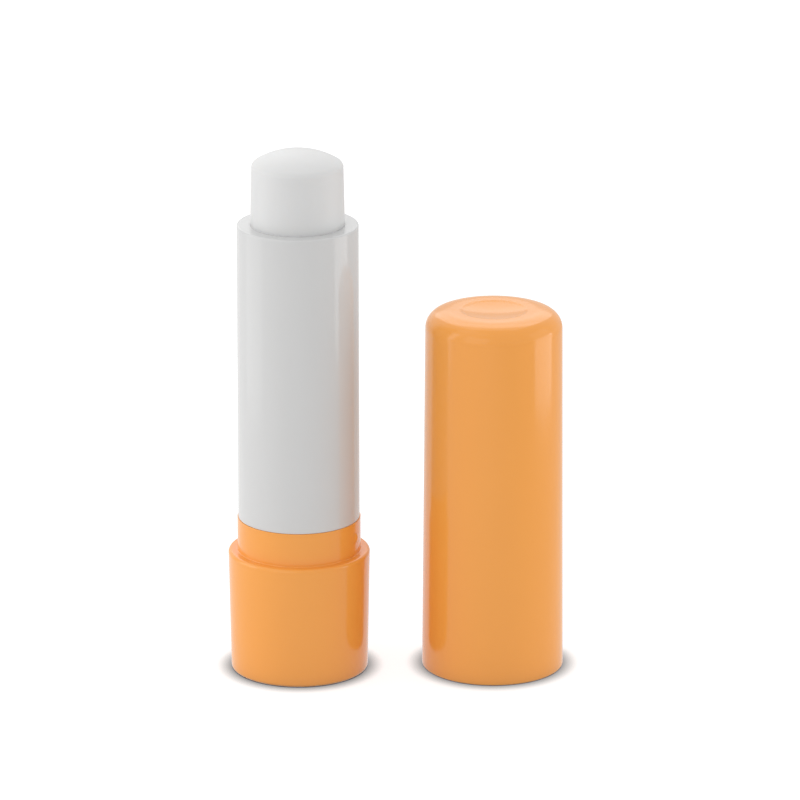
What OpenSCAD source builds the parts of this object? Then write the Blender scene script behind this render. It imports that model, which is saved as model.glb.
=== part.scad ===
// Twist-up lip balm stick, standing open beside its cap
// Millimetres, +Z up, origin on the stick's axis at the surface it stands on

/* [Balm] */
// Diameter of the balm inside the barrel
balm_d = 12.4; // [11:0.1:15]
// How much the bare nose narrows towards its dome, per side
nose_draft = 0.13; // [0:0.01:0.3]
// Height of the tapered nose, from the tip of the dome down
nose_h = 10.6; // [8:0.1:14]
// Radius of the domed tip
dome_r = 10.8; // [9:0.1:20]
// Rounding between the dome and the side
dome_edge_r = 0.85; // [0.6:0.05:1.6]
// Distance from the tip down to the rim when the balm is fully lowered
tip_below_rim = 1; // [0.3:0.1:3]
// How far the balm is screwed up from its lowest place, as photographed
raised = 11.1; // [8:0.1:20]
// How far the balm can rise in all
stroke = 42; // [30:0.5:43]

/* [Barrel] */
// Gap all round between the balm or the carrier and the bore
slide_gap = 0.07; // [0.05:0.01:0.15]
// Height of the barrel that shows above the collar
barrel_h = 40.5; // [38:0.5:60]
// Wall of the lower tube that turns inside the base
spigot_wall = 0.88; // [0.8:0.02:1.4]
// Gap between the lower tube and the floor of the base
spigot_floor_gap = 0.6; // [0.3:0.1:2]
// How much narrower the barrel is at its rim than at the collar, per side
barrel_draft = 0.05; // [0:0.01:0.15]
// Rounding of the rim's outer edge
rim_round = 0.25; // [0.1:0.05:0.5]
// Rounding of the rim's inner edge
lip_round = 0.12; // [0.05:0.01:0.3]
// Number of guide ribs in the bore
rib_count = 4; // [2:1:6]
// Width of a guide rib
rib_w = 1; // [0.6:0.1:1.5]
// Height of a guide rib
rib_h = 0.45; // [0.3:0.05:0.6]
// Distance from the rim down to the top of the ribs
rib_drop = 11.8; // [9:0.1:25]

/* [Base] */
// Height of the base from foot to shoulder
base_h = 16.65; // [14:0.05:24]
// Width of the shoulder that the cap stands on
shoulder_w = 1.25; // [1:0.05:2]
// How much narrower the foot is than the shoulder, per side
foot_draft = 0.32; // [0:0.02:0.6]
// Rounding of the shoulder's edge
shoulder_round = 0.45; // [0.1:0.05:0.6]
// Rounding of the foot's edge
foot_round = 0.35; // [0.1:0.05:0.6]
// Width of the ring that the stick stands on
foot_ring_w = 1.9; // [1.2:0.1:3]
// Depth of the recess under the base
foot_recess = 0.6; // [0.2:0.1:1]
// Thickness of the floor
floor_t = 1.8; // [1.4:0.1:3]
// Height of the collar that the cap grips
collar_h = 4.6; // [3.5:0.05:8]
// Wall of the collar
collar_wall = 1.02; // [0.9:0.02:1.6]
// How far the collar stands out from the barrel
collar_step = 0.12; // [0.05:0.01:0.3]
// Gap all round between the base and the lower tube
turn_gap = 0.08; // [0.05:0.01:0.12]
// Gap between the collar's top and the barrel
seam_gap = 0.05; // [0.02:0.01:0.15]
// Number of small bumps that hold the cap
nub_count = 2; // [2:1:4]
// Direction of the first bump, counter-clockwise from +X
nub_angle = -21; // [-180:1:180]
// How far a bump stands out
nub_h = 0.16; // [0.08:0.01:0.2]
// Radius of the ball that a bump is cut from
nub_ball_r = 2; // [1.2:0.1:3]

/* [Snap ring] */
// Height of the snap ring above the floor
snap_z = 9.5; // [6:0.5:11]
// How far the snap ring stands out
snap_h = 0.3; // [0.2:0.05:0.5]
// Height of the snap ring along the tube
snap_w = 1; // [0.8:0.1:1.6]

/* [Spindle] */
// Diameter of the spindle's core
core_d = 3.2; // [2.6:0.1:4]
// How far the thread stands out from the core
thread_h = 0.7; // [0.5:0.05:1]
// Rise of the thread in one turn
lead = 4; // [3.4:0.1:5]
// Width of the thread where it meets the core
thread_root_w = 1.5; // [1:0.1:1.8]
// Width of the thread at its crest
thread_crest_w = 0.8; // [0.4:0.1:1]
// Width across the flats of the six-sided plug
plug_af = 7; // [6:0.1:8]
// Height of the boss that holds the plug
boss_h = 1.6; // [1:0.1:3]
// Wall of the boss round the plug's corners
boss_wall = 1.4; // [1:0.1:1.6]
// Thickness left under the plug
plug_floor_t = 1; // [0.6:0.1:1.2]
// Thickness of the flange on the boss
flange_t = 0.8; // [0.6:0.1:1.5]
// Gap all round the plug in its socket
plug_gap = 0.03; // [0.01:0.01:0.06]

/* [Carrier] */
// Length of the skirt that follows the ribs
skirt_h = 8.4; // [6:0.1:10]
// Gap between the skirt and the flange when fully lowered
park_gap = 0.8; // [0.5:0.1:2]
// Wall of the skirt
skirt_wall = 1; // [0.9:0.1:1.4]
// Thickness of the platform under the balm
platform_t = 1.2; // [0.8:0.1:2]
// Wall of the hub round the spindle
hub_wall = 1.1; // [0.8:0.1:1.4]
// Gap all round the thread
thread_gap = 0.12; // [0.08:0.01:0.2]
// Gap between a lug and the core
lug_gap = 0.2; // [0.1:0.05:0.3]
// Height of a thread lug
lug_h = 1.7; // [1.2:0.1:1.8]
// Angle that a thread lug spans
lug_angle = 36; // [20:1:40]
// Gap all round a rib in its notch
rib_gap = 0.12; // [0.08:0.01:0.2]
// Number of claws that hold the balm
claw_count = 4; // [3:1:6]
// Height of a claw
claw_h = 3.5; // [2:0.1:6]
// Thickness of a claw
claw_t = 0.8; // [0.6:0.1:1.2]
// Angle that a claw spans
claw_angle = 40; // [20:1:50]
// Distance of the claws from the balm's side
claw_inset = 1.2; // [0.8:0.1:1.8]
// Gap between the balm and the thread
balm_hole_gap = 0.3; // [0.1:0.05:0.6]

/* [Cap] */
// Distance of the cap's axis from the stick's
cap_x = 26; // [24:0.1:60]
// How far behind the stick the cap stands
cap_y = 1; // [-10:0.05:10]
// Gap all round between the cap and the collar
cap_gap = 0.06; // [0.04:0.01:0.1]
// Wall of the cap at its mouth
cap_wall = 1.19; // [1:0.01:1.8]
// How much narrower the cap is at its crown, per side
cap_draft = 0.37; // [0:0.01:0.45]
// Gap over the rim of the barrel when the cap is on
head_gap = 0.7; // [0.3:0.1:2]
// Depth of the hollow in the crown above the bore
crown_hollow_h = 1.4; // [0.8:0.1:2]
// Narrowing of that hollow, per side
crown_hollow_step = 2; // [1.4:0.1:3]
// Thickness of the crown at its crest
crown_t = 2.2; // [1.8:0.1:4]
// Lower, wider radius of the crown's edge
crown_side_r = 2.9; // [2.4:0.1:3.5]
// Upper, tighter radius of the crown's edge
crown_top_r = 1.8; // [1.2:0.1:2.2]
// Angle at which the lower radius turns into the upper one
crown_turn = 35; // [25:1:45]
// Radius of the dish in the crown
dish_rim_r = 5.2; // [4:0.1:6]
// Slope of the dish at its rim
dish_slope = 13; // [6:1:18]
// Rounding of the dish's rim
dish_lip_r = 1.5; // [0.5:0.1:3]
// Rounding of the mouth's edges
mouth_round = 0.2; // [0.05:0.01:0.35]
// Height of the groove that the bumps click into
groove_w = 2.4; // [1.8:0.1:3]

/* [Hidden] */
$fn = 96;
over = 1;

balm_r = balm_d / 2;
bore_r = balm_r + slide_gap;
spigot_r = bore_r + spigot_wall;
base_bore_r = spigot_r + turn_gap;
collar_r = base_bore_r + collar_wall;
shoulder_r = collar_r + shoulder_w;
foot_r = shoulder_r - foot_draft;
barrel_bottom_r = collar_r - collar_step;
barrel_top_r = barrel_bottom_r - barrel_draft;

floor_z = foot_recess + floor_t;
collar_top = base_h + collar_h;
barrel_z = collar_top + seam_gap;
rim_z = barrel_z + barrel_h;
spigot_z = floor_z + spigot_floor_gap;
rib_top = rim_z - rib_drop;
snap_mid_z = floor_z + snap_z;
nub_z = base_h + collar_h / 2;

plug_r = plug_af / 2 / cos(30);
boss_r = plug_r + boss_wall;
boss_top = floor_z + boss_h;
socket_z = foot_recess + plug_floor_t;
flange_top = boss_top + flange_t;
core_r = core_d / 2;
thread_r = core_r + thread_h;

// The carrier and the balm are drawn where the photograph shows them
carrier_z = flange_top + park_gap + raised;
platform_top = carrier_z + skirt_h;
carrier_r = balm_r;
hub_bore_r = thread_r + thread_gap;
hub_r = hub_bore_r + hub_wall;
lug_z = carrier_z + lug_h / 2;
spindle_top = carrier_z - raised + stroke + lead / 2 + lug_h + over;
balm_hole_r = thread_r + balm_hole_gap;
balm_hole_top = spindle_top + raised + over / 2;
tip_z = rim_z - tip_below_rim + raised;
nose_z = tip_z - nose_h;
nose_r = balm_r - nose_draft;
groove_top = rib_top + raised + rib_gap;

cap_bore_r = collar_r + cap_gap;
cap_mouth_r = cap_bore_r + cap_wall;
cap_top_r = cap_mouth_r - cap_draft;
cap_bore_h = rim_z - base_h + head_gap;
cap_h = cap_bore_h + crown_hollow_h + crown_t;
groove_z = collar_h / 2;

thread_steps = 20;
arc_steps = 9;
thread_sink = 0.3;
thread_start = flange_top;
thread_end = spindle_top - over;

ORANGE = [0.94, 0.64, 0.36];
WHITE = [0.86, 0.87, 0.87];
INNER = [0.93, 0.93, 0.92];
WAX = [0.89, 0.89, 0.88];

// Takes the corner at the origin off, so that a rounding is left whose centre lies r inwards
module corner_cut(r, sx, sz)
    translate([-sx * r, -sz * r])
        difference() {
            translate([sx > 0 ? 0 : -r - over, sz > 0 ? 0 : -r - over]) square(r + over);
            circle(r);
        }

// A sector of a ring about the axis
module ring_sector(r_in, r_out, h, angle)
    rotate(-angle / 2)
        rotate_extrude(angle = angle)
            translate([r_in, 0]) square([r_out - r_in, h]);

module around(count)
    for (i = [0 : count - 1])
        rotate(i * 360 / count) children();

// One guide rib or the space it needs: gap widens it, from z0 up to z1
module ribs(gap, z0, z1)
    around(rib_count)
        translate([bore_r - rib_h - gap, -rib_w / 2 - gap, z0])
            cube([rib_h + gap + spigot_wall / 2, rib_w + 2 * gap, z1 - z0]);

module claws()
    around(claw_count)
        rotate(180 / claw_count)
            translate([0, 0, platform_top - platform_t / 2])
                ring_sector(carrier_r - claw_inset - claw_t, carrier_r - claw_inset,
                            claw_h + platform_t / 2, claw_angle);

// Orange dial and collar in one moulding
module base_outline()
    difference() {
        union() {
            polygon([[0, 0], [foot_r, 0], [foot_r, foot_round],
                     [shoulder_r, base_h - shoulder_round], [shoulder_r, base_h], [0, base_h]]);
            square([collar_r, collar_top]);
        }
        translate([foot_r, 0]) corner_cut(foot_round, 1, -1);
        translate([shoulder_r, base_h]) corner_cut(shoulder_round, 1, 1);
    }

module base_cuts()
{
    translate([0, -over]) square([foot_r - foot_ring_w, foot_recess + over]);
    translate([boss_r, floor_z]) square([base_bore_r - boss_r, collar_h + base_h]);
    translate([0, boss_top]) square([base_bore_r, collar_h + base_h]);
    translate([0, snap_mid_z - snap_w / 2 - turn_gap])
        square([base_bore_r + snap_h, snap_w + 2 * turn_gap]);
}

module nub()
    translate([0, 0, nub_z])
        difference() {
            translate([collar_r + nub_h - nub_ball_r, 0, 0]) sphere(nub_ball_r);
            translate([0, 0, -nub_ball_r - over])
                cylinder(r = collar_r - collar_wall / 2, h = 2 * (nub_ball_r + over));
        }

module base()
    color(ORANGE) {
        difference() {
            rotate_extrude()
                difference() {
                    base_outline();
                    base_cuts();
                }
            translate([0, 0, socket_z]) cylinder(r = plug_r + plug_gap, h = boss_top, $fn = 6);
        }
        rotate(nub_angle) around(nub_count) nub();
    }

// Points of the left-hand thread: one four-cornered section for each step of the turn
function thread_angle(z) = -360 * (z - lug_z - lead / 2) / lead;
function thread_section(z) =
    let (a = thread_angle(z), ri = core_r - thread_sink,
         root = thread_root_w / 2 + thread_sink * (thread_root_w - thread_crest_w) / 2 / thread_h,
         crest = thread_crest_w / 2)
    [for (p = [[ri, -root], [thread_r, -crest], [thread_r, crest], [ri, root]])
        [p[0] * cos(a), p[0] * sin(a), z + p[1]]];

module thread()
{
    z0 = thread_start + thread_root_w;
    n = floor((thread_end - z0) / lead * thread_steps);
    rings = [for (i = [0 : n]) thread_section(z0 + i * lead / thread_steps)];
    points = [for (r = rings) for (p = r) p];
    sides = [for (i = [0 : n - 1]) for (k = [0 : 3]) let (m = (k + 1) % 4)
        each [[4 * i + k, 4 * i + 4 + m, 4 * i + m], [4 * i + k, 4 * i + 4 + k, 4 * i + 4 + m]]];
    last = 4 * n;
    ends = [[0, 1, 2], [0, 2, 3], [last, last + 2, last + 1], [last, last + 3, last + 2]];
    polyhedron(points, concat(sides, ends));
}

// Spindle: six-sided plug, flange and threaded rod
module spindle()
    color(INNER) {
        translate([0, 0, socket_z]) cylinder(r = plug_r, h = boss_top - socket_z + flange_t / 2, $fn = 6);
        translate([0, 0, boss_top]) cylinder(r = boss_r, h = flange_t);
        translate([0, 0, boss_top]) cylinder(r = core_r, h = spindle_top - boss_top);
        thread();
    }

// White barrel with its lower tube, snap ring and guide ribs
module barrel_outline()
    difference() {
        union() {
            polygon([[bore_r, barrel_z], [barrel_bottom_r, barrel_z],
                     [barrel_top_r, rim_z - rim_round], [barrel_top_r, rim_z], [bore_r, rim_z]]);
            translate([bore_r, spigot_z]) square([spigot_wall, rim_z - spigot_z]);
            intersection() {
                translate([spigot_r - spigot_wall / 2, snap_mid_z - snap_w / 2])
                    square([spigot_wall / 2 + snap_h, snap_w]);
                translate([spigot_r + snap_h - snap_w, snap_mid_z]) circle(snap_w);
            }
        }
        translate([barrel_top_r, rim_z]) corner_cut(rim_round, 1, 1);
        translate([bore_r, rim_z]) corner_cut(lip_round, -1, 1);
    }

module barrel()
    color(WHITE) {
        rotate_extrude() barrel_outline();
        ribs(0, spigot_z, rib_top);
    }

// Carrier: skirt, platform and hub, two thread lugs and the claws that hold the balm
module carrier_outline()
{
    translate([carrier_r - skirt_wall, carrier_z]) square([skirt_wall, skirt_h]);
    translate([hub_bore_r, carrier_z]) square([hub_wall, skirt_h]);
    translate([hub_bore_r, platform_top - platform_t]) square([carrier_r - hub_bore_r, platform_t]);
}

module lug(z)
    translate([0, 0, z - lug_h / 2])
        ring_sector(core_r + lug_gap, hub_bore_r + hub_wall / 2, lug_h, lug_angle);

module carrier()
    color(INNER) {
        difference() {
            rotate_extrude() carrier_outline();
            ribs(rib_gap, carrier_z - over, platform_top + over);
        }
        lug(lug_z);
        rotate(180) lug(lug_z + lead / 2);
        claws();
    }

// Balm cast on the carrier and round the spindle
module balm_outline()
{
    dome_z = tip_z - dome_r;
    edge_x = nose_r - dome_edge_r;
    edge_z = dome_z + sqrt(pow(dome_r - dome_edge_r, 2) - pow(edge_x, 2));
    lean = atan2(edge_x, edge_z - dome_z);
    translate([0, platform_top]) square([balm_r, nose_z - platform_top]);
    polygon([[0, nose_z - over], [balm_r, nose_z - over], [balm_r, nose_z], [nose_r, edge_z],
             [edge_x, edge_z], [0, dome_z]]);
    intersection() {
        translate([0, dome_z]) circle(dome_r, $fn = 240);
        polygon([[0, dome_z], [dome_r * tan(lean), dome_z + dome_r],
                 [0, dome_z + dome_r]]);
    }
    intersection() {
        translate([edge_x, edge_z]) circle(dome_edge_r);
        translate([0, edge_z]) square([nose_r, dome_edge_r]);
    }
}

module balm()
    color(WAX)
        difference() {
            rotate_extrude() balm_outline();
            translate([0, 0, platform_top - over])
                cylinder(r = balm_hole_r, h = balm_hole_top - platform_top + over);
            ribs(rib_gap, platform_top - over, groove_top);
            claws();
        }

// Points along an arc from angle a0 to a1
function arc(centre, r, a0, a1) =
    [for (i = [0 : arc_steps]) let (a = a0 + (a1 - a0) * i / arc_steps) centre + r * [cos(a), sin(a)]];

// Orange cap, mouth down: drafted wall, edge of two radii, flat crest, rounded lip and shallow dish
module crown_outline()
{
    step = (crown_side_r - crown_top_r) * [cos(crown_turn), sin(crown_turn)];
    top = [cap_top_r - crown_side_r + step[0], cap_h - crown_top_r];
    side = top - step;
    lip = [dish_rim_r, cap_h - dish_lip_r];
    dish_x = lip[0] - dish_lip_r * sin(dish_slope);
    dish_r = dish_x / sin(dish_slope);
    dish = [0, lip[1] + (dish_lip_r + dish_r) * cos(dish_slope)];
    polygon(concat(
        [[0, 0], [cap_mouth_r, 0], [cap_mouth_r, mouth_round]],
        arc(side, crown_side_r, 0, crown_turn),
        arc(top, crown_top_r, crown_turn + crown_turn / arc_steps, 90),
        arc(lip, dish_lip_r, 90, 90 + dish_slope),
        arc(dish, dish_r, -90 + dish_slope * (1 - 1 / arc_steps), -90)));
}

module cap_outline()
    difference() {
        crown_outline();
        translate([cap_mouth_r, 0]) corner_cut(mouth_round, 1, -1);
        translate([0, -over]) square([cap_bore_r, cap_bore_h + over]);
        polygon([[0, cap_bore_h - over], [cap_bore_r, cap_bore_h - over], [cap_bore_r, cap_bore_h],
                 [cap_bore_r - crown_hollow_step, cap_bore_h + crown_hollow_h],
                 [0, cap_bore_h + crown_hollow_h]]);
        translate([0, groove_z - groove_w / 2]) square([cap_bore_r + nub_h, groove_w]);
    }

module cap()
    color(ORANGE)
        translate([cap_x, cap_y, 0])
            rotate_extrude() cap_outline();

base();
spindle();
barrel();
carrier();
balm();
cap();
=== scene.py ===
"""Twist-up lip balm stick with its cap beside it.

An add-on layout that is run as a script: each operator makes one piece or group of pieces, and main()
calls them in order. Lengths are in metres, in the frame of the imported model: the stick's axis is Z, the
surface it stands on is z = 0, the cap stands on +X and the viewer looks along +Y.
"""
import math

import bmesh
import bpy
from bpy.props import FloatProperty, FloatVectorProperty, IntProperty, PointerProperty
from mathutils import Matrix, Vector


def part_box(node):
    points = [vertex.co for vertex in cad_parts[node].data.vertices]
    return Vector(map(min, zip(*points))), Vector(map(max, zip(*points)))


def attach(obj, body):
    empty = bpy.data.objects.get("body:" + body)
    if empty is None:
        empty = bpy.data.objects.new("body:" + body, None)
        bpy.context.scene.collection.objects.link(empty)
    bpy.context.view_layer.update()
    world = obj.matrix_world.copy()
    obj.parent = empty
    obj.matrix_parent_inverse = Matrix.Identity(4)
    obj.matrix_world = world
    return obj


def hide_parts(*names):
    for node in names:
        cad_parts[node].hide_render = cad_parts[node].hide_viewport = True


bl_info = {
    "name": "Lip balm stick",
    "version": (1, 0, 0),
    "blender": (4, 5, 0),
    "location": "View3D > Sidebar > Lip balm",
    "description": "Builds a twist-up lip balm stick, its cap and a plain studio",
    "category": "Object",
}

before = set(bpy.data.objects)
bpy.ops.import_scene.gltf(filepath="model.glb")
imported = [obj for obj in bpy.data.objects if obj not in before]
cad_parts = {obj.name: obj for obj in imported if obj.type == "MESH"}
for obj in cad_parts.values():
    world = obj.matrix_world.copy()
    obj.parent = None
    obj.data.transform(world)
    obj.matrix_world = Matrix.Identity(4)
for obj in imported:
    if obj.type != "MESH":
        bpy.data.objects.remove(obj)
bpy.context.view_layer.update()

MM = 0.001
MICRON = 1e-6
# Points closer than this are one point
MERGE = MICRON
# Edges that turn more than this are shaded sharp
SHARP_ANGLE = math.radians(32)
# Faces in a rounded corner, and how far beyond it a supporting ring lies
CORNER_STEPS = 7
THREAD_CORNER_STEPS = 3
SUPPORT = 0.05 * MM
# How far a shape runs into the one that it joins
OVERLAP = 0.3 * MM
# Rounding of edges inside the stick
HIDDEN_ROUND = 0.1 * MM
# Rings across a bump on the collar, and how far from its centre they reach, in its radii
BUMP_RINGS = 20
BUMP_REACH = 1.1
# The floor lies a hair under the surface that the object stands on
FLOOR_LEVEL = -0.02 * MM
FLOOR_WHITE = 0.8
BLACK = (0, 0, 0)
WHITE = (1, 1, 1)

# Noise fields: waves per metre, detail, roughness
NOISES = {"drift": (120, 3, 0.5), "gloss": (340, 4, 0.6), "grain": (5200, 2, 0.5), "wave": (420, 1, 0.4),
          "cloud": (210, 4, 0.6), "skin": (900, 3, 0.55)}
# Plastic: drift of its colour, range of its roughness, grain beside its long waves, height of both
PLASTIC_IOR = 1.5
COLOUR_DRIFT = 0.012
GLOSS_RANGE = 0.06
GRAIN_SHARE = 0.35
GRAIN_HEIGHT = 8 * MICRON
OUTER_GRAIN = 0.2
INNER_GRAIN = 0.3
INNER_ROUGHNESS = 0.5
# Balm: the same for its clouding and skin, and how far light goes under its surface
WAX_IOR = 1.44
WAX_CLOUDING = 0.018
WAX_GLOSS_RANGE = 0.16
CLOUD_SHARE = 1.5
SKIN_HEIGHT = 10 * MICRON
SKIN_STRENGTH = 0.25
LIGHT_SHARE = 0.25
LIGHT_DEPTH = 1.2 * MM
LIGHT_REACH = (1.0, 0.9, 0.8)

# Wide lamps: degrees round the object from the viewer towards the cap, degrees above the horizon, watts
WIDE_LAMPS = (
    (-150, 22, 0.26), (-90, 22, 1.07), (-60, 22, 0.1), (-30, 22, 0.53), (90, 22, 0.36),
    (180, 36, 0.76), (-120, 58, 0.17), (-60, 58, 0.23), (180, 58, 0.52))
# Small lamps close to the object: place, watts, and the point of the cap's axis that they face
NEAR_LAMPS = (((0.15, 0, 0.03), 0.0245), ((-0.12, 0, 0.03), 0.0098))
NEAR_AIM = (0.026, 0.001, 0.025)

BASE_LOW, BASE_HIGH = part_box("base")
BARREL_LOW, BARREL_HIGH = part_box("barrel")
BALM_LOW, BALM_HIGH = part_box("balm")
CAP_LOW, CAP_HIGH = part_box("cap")
SPINDLE_LOW, SPINDLE_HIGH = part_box("spindle")


def length(name, description, default, low=0.0):
    """A length property with the scene's unit."""
    return FloatProperty(name=name, description=description, default=default, min=low, unit="LENGTH",
                         precision=5)


def colour(name, description, default):
    """A linear colour property."""
    return FloatVectorProperty(name=name, description=description, default=default, size=3, min=0, max=1,
                               subtype="COLOR")


class BaseSizes(bpy.types.PropertyGroup):
    """Sizes of the orange dial and its collar."""
    shoulder_radius: length("Shoulder radius", "Radius at the shoulder", (BASE_HIGH[0] - BASE_LOW[0]) / 2)
    foot_radius: length("Foot radius", "Radius at the foot", 9.18 * MM)
    shoulder_height: length("Shoulder height", "Height of the shoulder that the cap stands on", 16.65 * MM)
    collar_height: length("Collar top", "Height of the top of the collar", BASE_HIGH[2])
    collar_radius: length("Collar radius", "Radius of the collar", 8.25 * MM)
    bore_radius: length("Bore radius", "Radius of the bore for the barrel", 7.23 * MM)
    floor_height: length("Floor height", "Height of the inner floor", 2.4 * MM)
    recess_depth: length("Recess depth", "Depth of the recess under the base", 0.6 * MM)
    recess_radius: length("Recess radius", "Radius of the recess under the base", 7.28 * MM)
    recess_round: length("Recess rounding", "Rounding inside the recess", 0.15 * MM)
    foot_round: length("Foot rounding", "Rounding of the foot's outer edge", 0.35 * MM)
    shoulder_round: length("Shoulder rounding", "Rounding of the shoulder's edge", 0.45 * MM)
    collar_foot_round: length("Collar foot rounding", "Rounding where the collar rises", 0.12 * MM)
    collar_round: length("Collar rounding", "Rounding of the collar's top edge", 0.06 * MM)
    boss_radius: length("Boss radius", "Radius of the boss round the spindle's plug", 5.44 * MM)
    boss_top: length("Boss top", "Height of the boss", 4 * MM)
    socket_radius: length("Socket radius", "Radius of the socket for the spindle's plug", 4.07 * MM)
    socket_floor: length("Socket floor", "Height of the socket's floor", 1.6 * MM)
    snap_height: length("Snap groove height", "Height of the middle of the snap groove", 11.9 * MM)
    snap_width: length("Snap groove width", "Width of the snap groove", 1.16 * MM)
    snap_depth: length("Snap groove depth", "Depth of the snap groove", 0.3 * MM)
    bump_height: length("Bump height", "How far a bump on the collar stands out", 0.16 * MM)
    bump_radius: length("Bump radius", "Radius of a bump on the collar", 0.78 * MM)
    bump_level: length("Bump level", "Height of the bumps' centres", 18.95 * MM)
    bump_angle: FloatProperty(name="Bump angle", description="Direction of the first bump",
                              default=math.radians(-21), subtype="ANGLE")
    bump_count: IntProperty(name="Bumps", description="Number of bumps on the collar", default=2, min=1)
    segments: IntProperty(name="Segments", description="Faces round the piece", default=320, min=16)


class BarrelSizes(bpy.types.PropertyGroup):
    """Sizes of the white barrel."""
    bottom_radius: length("Bottom radius", "Outer radius where the barrel meets the collar", 8.13 * MM)
    top_radius: length("Rim radius", "Outer radius at the rim", 8.08 * MM)
    rim_height: length("Rim height", "Height of the rim", BARREL_HIGH[2])
    seam_height: length("Seam height", "Height of the barrel's lower edge", 21.27 * MM)
    bore_radius: length("Bore radius", "Radius of the bore", 6.27 * MM)
    spigot_radius: length("Lower tube radius", "Radius of the tube that turns inside the base", 7.15 * MM)
    spigot_bottom: length("Lower tube end", "Height of the lower end of the tube", BARREL_LOW[2])
    seam_round: length("Seam rounding", "Rounding of the barrel's lower edge", 0.04 * MM)
    rim_round: length("Rim rounding", "Rounding of the rim's outer edge", 0.25 * MM)
    lip_round: length("Lip rounding", "Rounding of the rim's inner edge", 0.01 * MM)
    snap_height: length("Snap ring height", "Height of the snap ring", 11.9 * MM)
    snap_width: length("Snap ring width", "Width of the snap ring", 1 * MM)
    snap_depth: length("Snap ring depth", "How far the snap ring stands out", 0.3 * MM)
    rib_count: IntProperty(name="Ribs", description="Number of guide ribs in the bore", default=4, min=1)
    rib_width: length("Rib width", "Width of a guide rib", 1 * MM)
    rib_depth: length("Rib depth", "How far a guide rib stands into the bore", 0.45 * MM)
    rib_top: length("Rib top", "Height of the top of the ribs", 50 * MM)
    rib_bevel: length("Rib bevel", "Width of the bevels of a rib", 0.08 * MM)
    segments: IntProperty(name="Segments", description="Faces round the piece", default=256, min=16)


class BalmSizes(bpy.types.PropertyGroup):
    """Sizes of the cast balm."""
    radius: length("Radius", "Radius inside the barrel", 6.268 * MM)
    nose_radius: length("Nose radius", "Radius below the dome", 6.1 * MM)
    nose_height: length("Nose start", "Height where the nose starts to narrow", 61.3 * MM)
    tip_height: length("Tip height", "Height of the tip", BALM_HIGH[2])
    dome_radius: length("Dome radius", "Radius of the domed tip", 10.8 * MM)
    edge_radius: length("Dome edge", "Rounding between the dome and the side", 0.85 * MM)
    bottom: length("Bottom", "Height of the balm's lower face", BALM_LOW[2])
    hole_radius: length("Hole radius", "Radius of the hole for the spindle", 2.6 * MM)
    hole_top: length("Hole top", "Height of the top of that hole", 63.9 * MM)
    groove_width: length("Groove width", "Width of a rib's groove", 1.24 * MM)
    groove_radius: length("Groove radius", "Radius of the bottom of a groove", 5.7 * MM)
    groove_top: length("Groove top", "Height where the grooves end", 61.22 * MM)
    segments: IntProperty(name="Segments", description="Faces round the piece", default=320, min=16)


class ScrewSizes(bpy.types.PropertyGroup):
    """Sizes of the lead screw."""
    core_radius: length("Core radius", "Radius of the rod", 1.6 * MM)
    thread_radius: length("Thread radius", "Radius over the thread", 2.3 * MM)
    lead: length("Lead", "Rise in one turn", 4 * MM)
    root_width: length("Root width", "Width of the thread at the rod", 1.5 * MM)
    crest_width: length("Crest width", "Width of the thread at its crest", 0.8 * MM)
    thread_start: length("Thread start", "Height where the thread starts", 6.3 * MM)
    thread_end: length("Thread end", "Height where the thread ends", 51.3 * MM)
    phase_height: length("Phase height", "A height at which the thread crosses +X", 19.55 * MM)
    top: length("Top", "Height of the rod's end", SPINDLE_HIGH[2])
    plug_bottom: length("Plug bottom", "Height of the plug's lower face", SPINDLE_LOW[2])
    plug_flats: length("Plug flats", "Width across the flats of the plug", 7 * MM)
    flange_radius: length("Flange radius", "Radius of the flange", 5.44 * MM)
    flange_bottom: length("Flange bottom", "Height of the flange's lower face", 4 * MM)
    flange_top: length("Flange top", "Height of the flange's upper face", 4.8 * MM)
    flange_round: length("Flange rounding", "Rounding of the flange's upper edge", 0.15 * MM)
    root_round: length("Root rounding", "Fillet where the rod rises from the flange", 0.25 * MM)
    end_round: length("End rounding", "Rounding of the rod's end", 0.4 * MM)
    crest_round: length("Crest rounding", "Rounding of the thread's crest", 0.12 * MM)
    segments: IntProperty(name="Segments", description="Faces round the rod", default=96, min=16)
    steps_per_turn: IntProperty(name="Steps", description="Sections in one turn of the thread", default=48,
                                min=8)


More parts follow.
